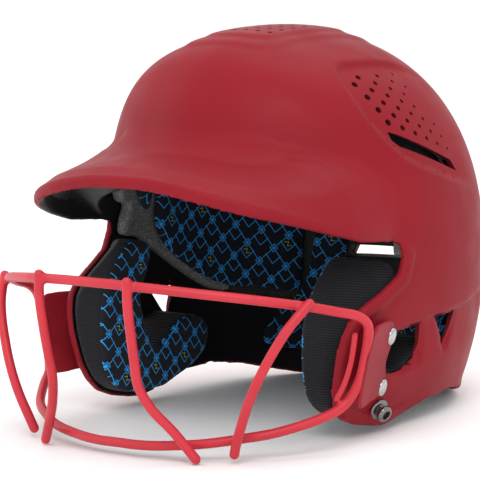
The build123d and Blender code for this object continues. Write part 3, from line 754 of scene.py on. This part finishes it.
# ------------ guard
def wire_field(g, points, radius, closed=False):
    """Distance to a round wire through the points, filled in only near it."""
    line = rounded(points, 6, closed)
    far = 8.0
    field = np.full((len(g.x), len(g.y), len(g.z)), far)
    ends = zip(line, np.roll(line, -1, axis=0)) if closed else zip(line[:-1], line[1:])
    for a, b in ends:
        low, high = np.minimum(a, b) - radius - far, np.maximum(a, b) + radius + far
        i, j, k = (slice(*np.searchsorted(axis, (low[n], high[n])))
                   for n, axis in enumerate((g.x, g.y, g.z)))
        if i.start == i.stop:
            continue
        d = b - a
        px, py, pz = g.x[i, None, None] - a[0], g.y[None, j, None] - a[1], g.z[None, None, k] - a[2]
        t = np.clip((px * d[0] + py * d[1] + pz * d[2]) / (d @ d), 0, 1)
        gap = np.sqrt((px - t * d[0])**2 + (py - t * d[1])**2 + (pz - t * d[2])**2) - radius
        field[i, j, k] = np.minimum(field[i, j, k], gap)
    return field


def plate_frame():
    """The left plate's directions: forwards, up and out of the shell."""
    out = PLATE_NORMAL
    forwards = Vector((0, -1, 0))
    forwards = (forwards - out * forwards.dot(out)).normalized()
    return forwards, forwards.cross(out), out


def make_guard():
    g = Grid((0, -160, -2), (134, 2, 112), 1.0)
    mirrored_loop = [(-x, y, z) for x, y, z in LOOP_HALF[-2:0:-1]]
    guard = wire_field(g, LOOP_HALF + mirrored_loop, WIRE_R, closed=True)
    for points, radius in ((OUTER_BAR, WIRE_R), (INNER_BAR, WIRE_R), (SIDE_WIRE, THIN_WIRE_R)):
        guard = join(guard, wire_field(g, points, radius), WELD)
    piece = solid_mesh("guard_coated", g, guard)
    nodes = ["guard_loop"] + [f"guard_{part}_{side}" for part in ("outer_bar", "inner_bar", "side_wire")
                              for side in ("left", "right")]
    finish_piece(piece, vinyl(), nodes)


def make_plates():
    g = Grid((94, -64, 16), (134, -6, 80), 0.8)
    forwards, up, out = plate_frame()
    px, py, pz = (axis - seat for axis, seat in zip((g.X, g.Y, g.Z), PLATE_SEAT))
    along = px * forwards.x + py * forwards.y + pz * forwards.z
    height = px * up.x + py * up.y + pz * up.z
    above = px * out.x + py * out.y + pz * out.z
    outline = outline_distance(rounded(PLATE_OUTLINE, 3), along, height)
    plate = meet(np.abs(above - PLATE / 2 - PLATE_SKIN) - PLATE / 2 - PLATE_SKIN, outline, 1.2)
    for label in ("left", "right"):
        piece = solid_mesh(f"plate_{label}_painted", g, plate, label)
        finish_piece(piece, plate_paint(), [f"guard_plate_{label}"])


# ------------ turned parts
# (radius, height) profiles from the plate's inner face and from the snap's seat, and their scales.
SCREW_PROFILE = [(1.9, -10), (2, -9.8), (2, 2.1), (4.3, 2.1), (4.85, 2.25), (4.9, 2.9), (4.6, 3.5),
                 (3.9, 4.1), (2.9, 4.55), (1.6, 4.8), (0.3, 4.85)]
SCREW_SCALE = (1.12, 1.0)
SNAP_PROFILE = [(2.3, -6.4), (2.4, -6.2), (2.4, 0.1), (5.0, 0.1), (5.2, 0.4), (5.2, 1.2), (4.7, 1.8),
                (3.6, 2.1), (2.9, 2.4), (2.7, 3.2), (2.9, 4.2), (3.5, 4.6), (3.9, 5.2), (4.0, 6.2),
                (3.8, 7.4), (3.3, 8.2), (2.6, 8.5), (2.2, 8.4), (2.0, 7.6), (1.9, 5.6), (0.2, 5.5)]
SNAP_SCALE = (1.28, 0.9)


def scaled(profile, scale):
    """A profile with its radii and heights scaled."""
    return [(radius * scale[0], height * scale[1]) for radius, height in profile]


def turned(name, profile, seat, axis, material, node, sides=48):
    """A part turned about an axis, from (radius, height) points in mm."""
    turn = Vector(axis).to_track_quat("Z", "Y").to_matrix()
    points, faces = [], []
    for radius, height in profile:
        for a in np.arange(sides) * math.tau / sides:
            place = Vector(seat) + turn @ Vector((radius * math.cos(a), radius * math.sin(a), height))
            points.append(tuple(place * MM))
    for low in range(0, (len(profile) - 1) * sides, sides):
        high = low + sides
        for i in range(sides):
            j = (i + 1) % sides
            faces.append((low + i, low + j, high + j, high + i))
    caps = [tuple(range(sides))[::-1], tuple(range(len(points) - sides, len(points)))]
    mesh = bpy.data.meshes.new(name)
    mesh.from_pydata(points, [], faces + caps)
    mesh.shade_smooth()
    mesh.set_sharp_from_angle(angle=math.radians(50))
    finish_piece(linked(name, mesh), material, [node])


def make_fasteners():
    _, up, out = plate_frame()
    chrome, nickel = metal("screw_chrome_metal", (0.46, 0.46, 0.47), 0.17), snap_metal()
    screw, snap = scaled(SCREW_PROFILE, SCREW_SCALE), scaled(SNAP_PROFILE, SNAP_SCALE)
    for label, side in (("left", 1), ("right", -1)):
        mirror = Matrix.Diagonal((side, 1, 1))
        for index, height in enumerate(("upper", "lower")):
            seat = mirror @ (Vector(PLATE_SEAT) - up * index * LOWER_SCREW_DOWN)
            turned(f"screw_{height}_{label}_head", screw, seat, mirror @ out, chrome,
                   f"screw_{height}_{label}")
        turned(f"snap_{label}_stud", snap, mirror @ SNAP_SEAT, mirror @ SNAP_NORMAL, nickel,
               f"snap_stud_{label}")


# ------------ materials
class Look:
    """A material under construction."""

    def __init__(self, name, colour, roughness, metallic=0.0, **sockets):
        self.material = bpy.data.materials.new(name)
        self.material.use_nodes = True
        self.tree = self.material.node_tree
        self.shader = self.tree.nodes["Principled BSDF"]
        self.shader.inputs["Base Color"].default_value = (*colour, 1)
        self.shader.inputs["Roughness"].default_value = roughness
        self.shader.inputs["Metallic"].default_value = metallic
        for key, value in sockets.items():
            self.shader.inputs[key.replace("_", " ")].default_value = value
        self.material.diffuse_color = (*colour, 1)

    def node(self, kind, settings=None, **inputs):
        made = self.tree.nodes.new("ShaderNode" + kind)
        for key, value in (settings or {}).items():
            setattr(made, key, value)
        for key, value in inputs.items():
            self.plug(value, made.inputs[key.replace("_", " ")])
        return made

    def plug(self, value, socket):
        if isinstance(value, bpy.types.NodeSocket):
            self.tree.links.new(value, socket)
        elif hasattr(value, "__len__") and len(value) == 3 and socket.type == "RGBA":
            socket.default_value = (*value, 1)
        else:
            socket.default_value = value

    def math(self, operation, a, b=None, c=None):
        made = self.tree.nodes.new("ShaderNodeMath")
        made.operation = operation
        for value, socket in zip((a, b, c), made.inputs):
            if value is not None:
                self.plug(value, socket)
        return made.outputs[0]

    def object_place(self):
        return self.node("TexCoord").outputs["Object"]

    def noise(self, scale, detail):
        return self.node("TexNoise", Vector=self.object_place(), Scale=scale, Detail=detail).outputs["Fac"]

    def ramp(self, value, low, high, start=0.0, end=1.0):
        return self.node("MapRange", {"interpolation_type": "SMOOTHSTEP"}, Value=value, **{
            "From_Min": low, "From_Max": high, "To_Min": start, "To_Max": end}).outputs[0]

    def mix(self, share, a, b):
        made = self.tree.nodes.new("ShaderNodeMix")
        made.data_type = "RGBA"
        self.plug(share, made.inputs[0])
        self.plug(a, made.inputs[6])
        self.plug(b, made.inputs[7])
        return made.outputs[2]

    def mottled(self, scale, dark, light):
        """A colour that wanders softly between two."""
        return self.mix(self.ramp(self.noise(scale, 3.0), 0.35, 0.65), dark, light)

    def attribute(self, name, output="Fac"):
        return self.node("Attribute", {"attribute_name": name}).outputs[output]

    def bump(self, height, distance, strength):
        made = self.node("Bump", Height=height, Distance=distance, Strength=strength)
        self.plug(made.outputs[0], self.shader.inputs["Normal"])

    def set(self, **values):
        for key, value in values.items():
            self.plug(value, self.shader.inputs[key.replace("_", " ")])


def once(make):
    """Each material is made once and shared."""
    made = {}

    def again(*args):
        if args not in made:
            made[args] = make(*args)
        return made[args]
    return again


RED = (0.25, 0.012, 0.021)
INSIDE_BLACK = (0.012, 0.012, 0.014)


@once
def shell_paint():
    look = Look("shell_red_matte", RED, 0.5, Specular_IOR_Level=0.1)
    red = look.mottled(9.0, (0.225, 0.0085, 0.016), (0.25, 0.0105, 0.019))
    inside = look.ramp(look.attribute("inside"), -0.12, 0.12)
    look.set(Base_Color=look.mix(inside, red, INSIDE_BLACK))
    look.set(Roughness=look.ramp(look.noise(60.0, 3.0), 0.3, 0.7, 0.44, 0.52))
    look.bump(look.noise(2600.0, 2.0), 0.00003, 0.35)
    return look.material


@once
def plate_paint():
    look = Look("plate_dark_red_paint", RED, 0.48, Specular_IOR_Level=0.1)
    look.set(Base_Color=look.mottled(50.0, (0.25, 0.012, 0.02), (0.30, 0.016, 0.027)))
    look.bump(look.noise(900.0, 2.0), 0.00005, 0.5)
    return look.material


@once
def vinyl():
    look = Look("guard_vinyl_red", (0.50, 0.02, 0.035), 0.4, Specular_IOR_Level=0.35)
    look.set(Base_Color=look.mottled(40.0, (0.48, 0.019, 0.032), (0.54, 0.024, 0.040)))
    look.bump(look.noise(420.0, 2.0), 0.00008, 0.5)
    return look.material


@once
def foam_material(name, brightness):
    look = Look(name, (0.1 * brightness,) * 3, 0.85)
    specks = look.node("TexVoronoi", Vector=look.object_place(), Scale=520.0)
    tone = look.ramp(look.noise(900.0, 2.0), 0.3, 0.7)
    dark, light = ((shade * brightness,) * 3 for shade in (0.045, 0.15))
    speck = look.math("GREATER_THAN", look.noise(1300.0, 1.0), 0.66)
    bead = look.mix(look.ramp(specks.outputs["Distance"], 0.05, 0.5), look.mix(tone, dark, light), light)
    look.set(Base_Color=look.mix(speck, bead, (0.55 * brightness,) * 3))
    look.bump(specks.outputs["Distance"], 0.0006, 0.6)
    return look.material


CLOTH_BLACK = (0.010, 0.011, 0.016)
INK_BLUE = (0.03, 0.36, 0.85)
INK_YELLOW = (0.45, 0.50, 0.03)
RIB_PITCH = 0.0015       # metres, of the ear pads' knit
RIB_TILT = 0.15
# The print's lattice: its two steps, the width of its lines and the sizes of its squares, in metres.
LATTICE_A = (0.0100, -0.0074)
LATTICE_B = (-0.0075, -0.0122)
INK_LINE = 0.0005
INK_SQUARE = 0.0018
INK_DOT = 0.001
STAIR_START = -0.06      # where the stair lines start, in cells from the middle of one
# The yellow squiggles: where they sit in a cell, and their sizes in metres.
SQUIGGLE_AT = 0.27
SQUIGGLE_HALF_LENGTH = 0.0024
SQUIGGLE_SWING = 0.0009
SQUIGGLE_LINE = 0.00032
SQUIGGLE_TURNS = 2100.0  # radians to the metre
CELLS_TO_A_SQUIGGLE = 5.0
MANY_CELLS = 400.0       # added to keep the cells' numbers positive


def round_off(look, value):
    """How far a lattice coordinate is from the nearest whole number, with its sign."""
    return look.math("SUBTRACT", value, look.math("ROUND", value))


def lattice_print(look):
    """Colour of the printed lattice, blue and yellow on black, from the cloth coordinates."""
    place = look.node("SeparateXYZ", Vector=look.attribute("cloth", "Vector"))
    u, v = place.outputs[0], place.outputs[1]
    (ax, ay), (bx, by) = LATTICE_A, LATTICE_B
    length_a, length_b = math.hypot(ax, ay), math.hypot(bx, by)
    area = ax * by - ay * bx
    a = look.math("MULTIPLY_ADD", u, by / area, look.math("MULTIPLY", v, -bx / area))
    b = look.math("MULTIPLY_ADD", u, -ay / area, look.math("MULTIPLY", v, ax / area))
    near_a, near_b = round_off(look, a), round_off(look, b)
    p = look.math("ABSOLUTE", look.math("MULTIPLY", near_a, length_a))
    q = look.math("ABSOLUTE", look.math("MULTIPLY", near_b, length_b))
    reach = look.math("MAXIMUM", p, q)
    half_line = INK_LINE / 2
    through = look.math("LESS_THAN", look.math("MINIMUM", p, q), half_line)
    through = look.math("MULTIPLY", through, look.math("GREATER_THAN", reach, INK_SQUARE))
    square = look.math("COMPARE", reach, INK_SQUARE, half_line)
    dot = look.math("LESS_THAN", reach, INK_DOT)
    stair_a = look.math("GREATER_THAN", look.math("ABSOLUTE", near_a), 0.5 - half_line / length_a)
    stair_b = look.math("GREATER_THAN", look.math("ABSOLUTE", near_b), 0.5 - half_line / length_b)
    stair_a = look.math("MULTIPLY", stair_a, look.math("GREATER_THAN", near_b, STAIR_START))
    stair_b = look.math("MULTIPLY", stair_b, look.math("GREATER_THAN", near_a, STAIR_START))
    blue = dot
    for part in (through, square, stair_a, stair_b):
        blue = look.math("MAXIMUM", blue, part)
    cell_a, cell_b = look.math("FLOOR", a), look.math("FLOOR", b)
    mid_a = look.math("MULTIPLY", look.math("SUBTRACT", look.math("FRACT", a), SQUIGGLE_AT), length_a)
    mid_b = look.math("MULTIPLY", look.math("SUBTRACT", look.math("FRACT", b), SQUIGGLE_AT), length_b)
    bend = look.math("SINE", look.math("MULTIPLY", mid_b, SQUIGGLE_TURNS))
    curl = look.math("COMPARE", mid_a, look.math("MULTIPLY", bend, SQUIGGLE_SWING), SQUIGGLE_LINE)
    curl = look.math("MULTIPLY", curl, look.math("COMPARE", mid_b, 0.0, SQUIGGLE_HALF_LENGTH))
    number = look.math("MULTIPLY_ADD", cell_b, 2.0, look.math("ADD", cell_a, MANY_CELLS))
    picked = look.math("LESS_THAN", look.math("MODULO", number, CELLS_TO_A_SQUIGGLE), 0.5)
    yellow = look.math("MULTIPLY", curl, picked)
    return look.mix(yellow, look.mix(blue, CLOTH_BLACK, INK_BLUE), INK_YELLOW)


@once
def printed_cloth():
    look = Look("pad_printed_cloth", CLOTH_BLACK, 0.85, Sheen_Weight=0.05, Specular_IOR_Level=0.2)
    printed = look.ramp(look.attribute("printed"), -0.2, 0.2)
    look.set(Base_Color=look.mix(printed, CLOTH_BLACK, lattice_print(look)))
    look.bump(look.noise(1500.0, 2.0), 0.0002, 0.4)
    return look.material


@once
def ear_pad_cloth():
    """Ribbed knit round the outside, with painted shade in its troughs and a painted highlight on its
    crests, the print on the face towards the ear, a seam between them.
    """
    look = Look("ear_pad_knit_and_print", CLOTH_BLACK, 0.85, Sheen_Weight=0.05, Specular_IOR_Level=0.25)
    face = look.attribute("printed")
    printed = look.ramp(face, -0.2, 0.2)
    place = look.node("SeparateXYZ", Vector=look.object_place())
    tilted = look.math("MULTIPLY_ADD", place.outputs[1], RIB_TILT, place.outputs[2])
    rib = look.math("SINE", look.math("MULTIPLY", tilted, math.tau / RIB_PITCH))
    # The knit's colour follows its ribs: painted shade in the troughs and a painted highlight on the
    # crests.
    painted_rib_shade = look.mix(look.ramp(rib, -0.6, 0.9), (0.003, 0.003, 0.005), (0.012, 0.013, 0.017))
    look.set(Base_Color=look.mix(printed, painted_rib_shade, lattice_print(look)))
    seam = look.math("MULTIPLY", look.math("COMPARE", face, 0.0, 0.35), -2.0)
    knit = look.math("MULTIPLY", rib, look.math("SUBTRACT", 1.0, printed))
    look.bump(look.math("ADD", seam, knit), 0.0003, 0.7)
    return look.material


@once
def black_plastic(name, roughness):
    look = Look(name, (0.012, 0.012, 0.013), roughness)
    look.set(Roughness=look.ramp(look.noise(80.0, 3.0), 0.3, 0.7, roughness - 0.04, roughness + 0.05))
    look.bump(look.noise(1400.0, 2.0), 0.00006, 0.5)
    return look.material


@once
def metal(name, colour, roughness):
    look = Look(name, colour, roughness, 1.0)
    look.set(Roughness=look.ramp(look.noise(300.0, 3.0), 0.3, 0.7, roughness * 0.7, roughness * 1.4))
    return look.material


def snap_metal():
    return metal("snap_dark_nickel", (0.22, 0.21, 0.21), 0.22)


def make_cad_looks():
    """Materials for the small hidden parts that keep their CAD shape."""
    steel = metal("nut_steel_metal", (0.55, 0.55, 0.54), 0.32)
    rubber = black_plastic("spacer_black_rubber", 0.7)
    nickel = snap_metal()
    looks = {"spacer": rubber, "snap": nickel, "nut": steel}
    for name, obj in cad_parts.items():
        if not obj.hide_render:
            obj.data.materials.clear()
            obj.data.materials.append(looks[name.split("_")[0]])


# ------------ studio
FLOOR_HALF = 6.0
FLOOR_DROP = 0.0004      # under the helmet, so that the two don't share a face
AIR_BRIGHTNESS = 1.04
# (name, place, height of the point it is aimed at, width, watts)
LIGHTS = [
    ("key", (0.9, -1.3, 1.5), 0.12, 0.9, 15),
    ("fill", (-1.6, -0.8, 0.9), 0.12, 1.4, 5),
    ("top", (0.1, 0.5, 1.8), 0.15, 1.2, 8),
]
CAMERA_PLACE = (1.2461, -1.5346, 0.4011)
CAMERA_TURN = (81.5196, 2.2334, 38.9459)     # degrees about X, Y and Z
CAMERA_LENS = 250.7


def area_light(name, place, aim_height, width, power):
    data = bpy.data.lights.new(name, "AREA")
    data.size = width
    data.energy = power
    lamp = linked(name, data)
    lamp.location = place
    lamp.rotation_euler = (Vector((0, 0, aim_height)) - Vector(place)).to_track_quat("-Z", "Y").to_euler()


def make_studio():
    mesh = bpy.data.meshes.new("studio_floor")
    corners = [(x * FLOOR_HALF, y * FLOOR_HALF, 0) for x, y in ((-1, -1), (1, -1), (1, 1), (-1, 1))]
    mesh.from_pydata(corners, [], [(0, 1, 2, 3)])
    floor = linked("studio_floor", mesh)
    floor.location.z = -FLOOR_DROP
    mesh.materials.append(Look("studio_white", (0.95, 0.95, 0.95), 0.9).material)
    bpy.context.scene.view_settings.view_transform = "Standard"
    world = bpy.data.worlds.new("studio_air")
    world.use_nodes = True
    air = world.node_tree.nodes["Background"]
    air.inputs["Color"].default_value = (1, 1, 1, 1)
    air.inputs["Strength"].default_value = AIR_BRIGHTNESS
    bpy.context.scene.world = world
    for light in LIGHTS:
        area_light(*light)


def make_camera():
    data = bpy.data.cameras.new("camera")
    data.sensor_width = 36
    data.lens = CAMERA_LENS
    data.clip_end = 50
    camera = linked("camera", data)
    turn = Euler([math.radians(angle) for angle in CAMERA_TURN])
    camera.matrix_world = Matrix.Translation(CAMERA_PLACE) @ turn.to_matrix().to_4x4()
    bpy.context.scene.camera = camera


make_shell()
make_brim_lining()
make_liner()
make_pads()
make_guard()
make_plates()
make_fasteners()
make_cad_looks()
make_studio()
make_camera()
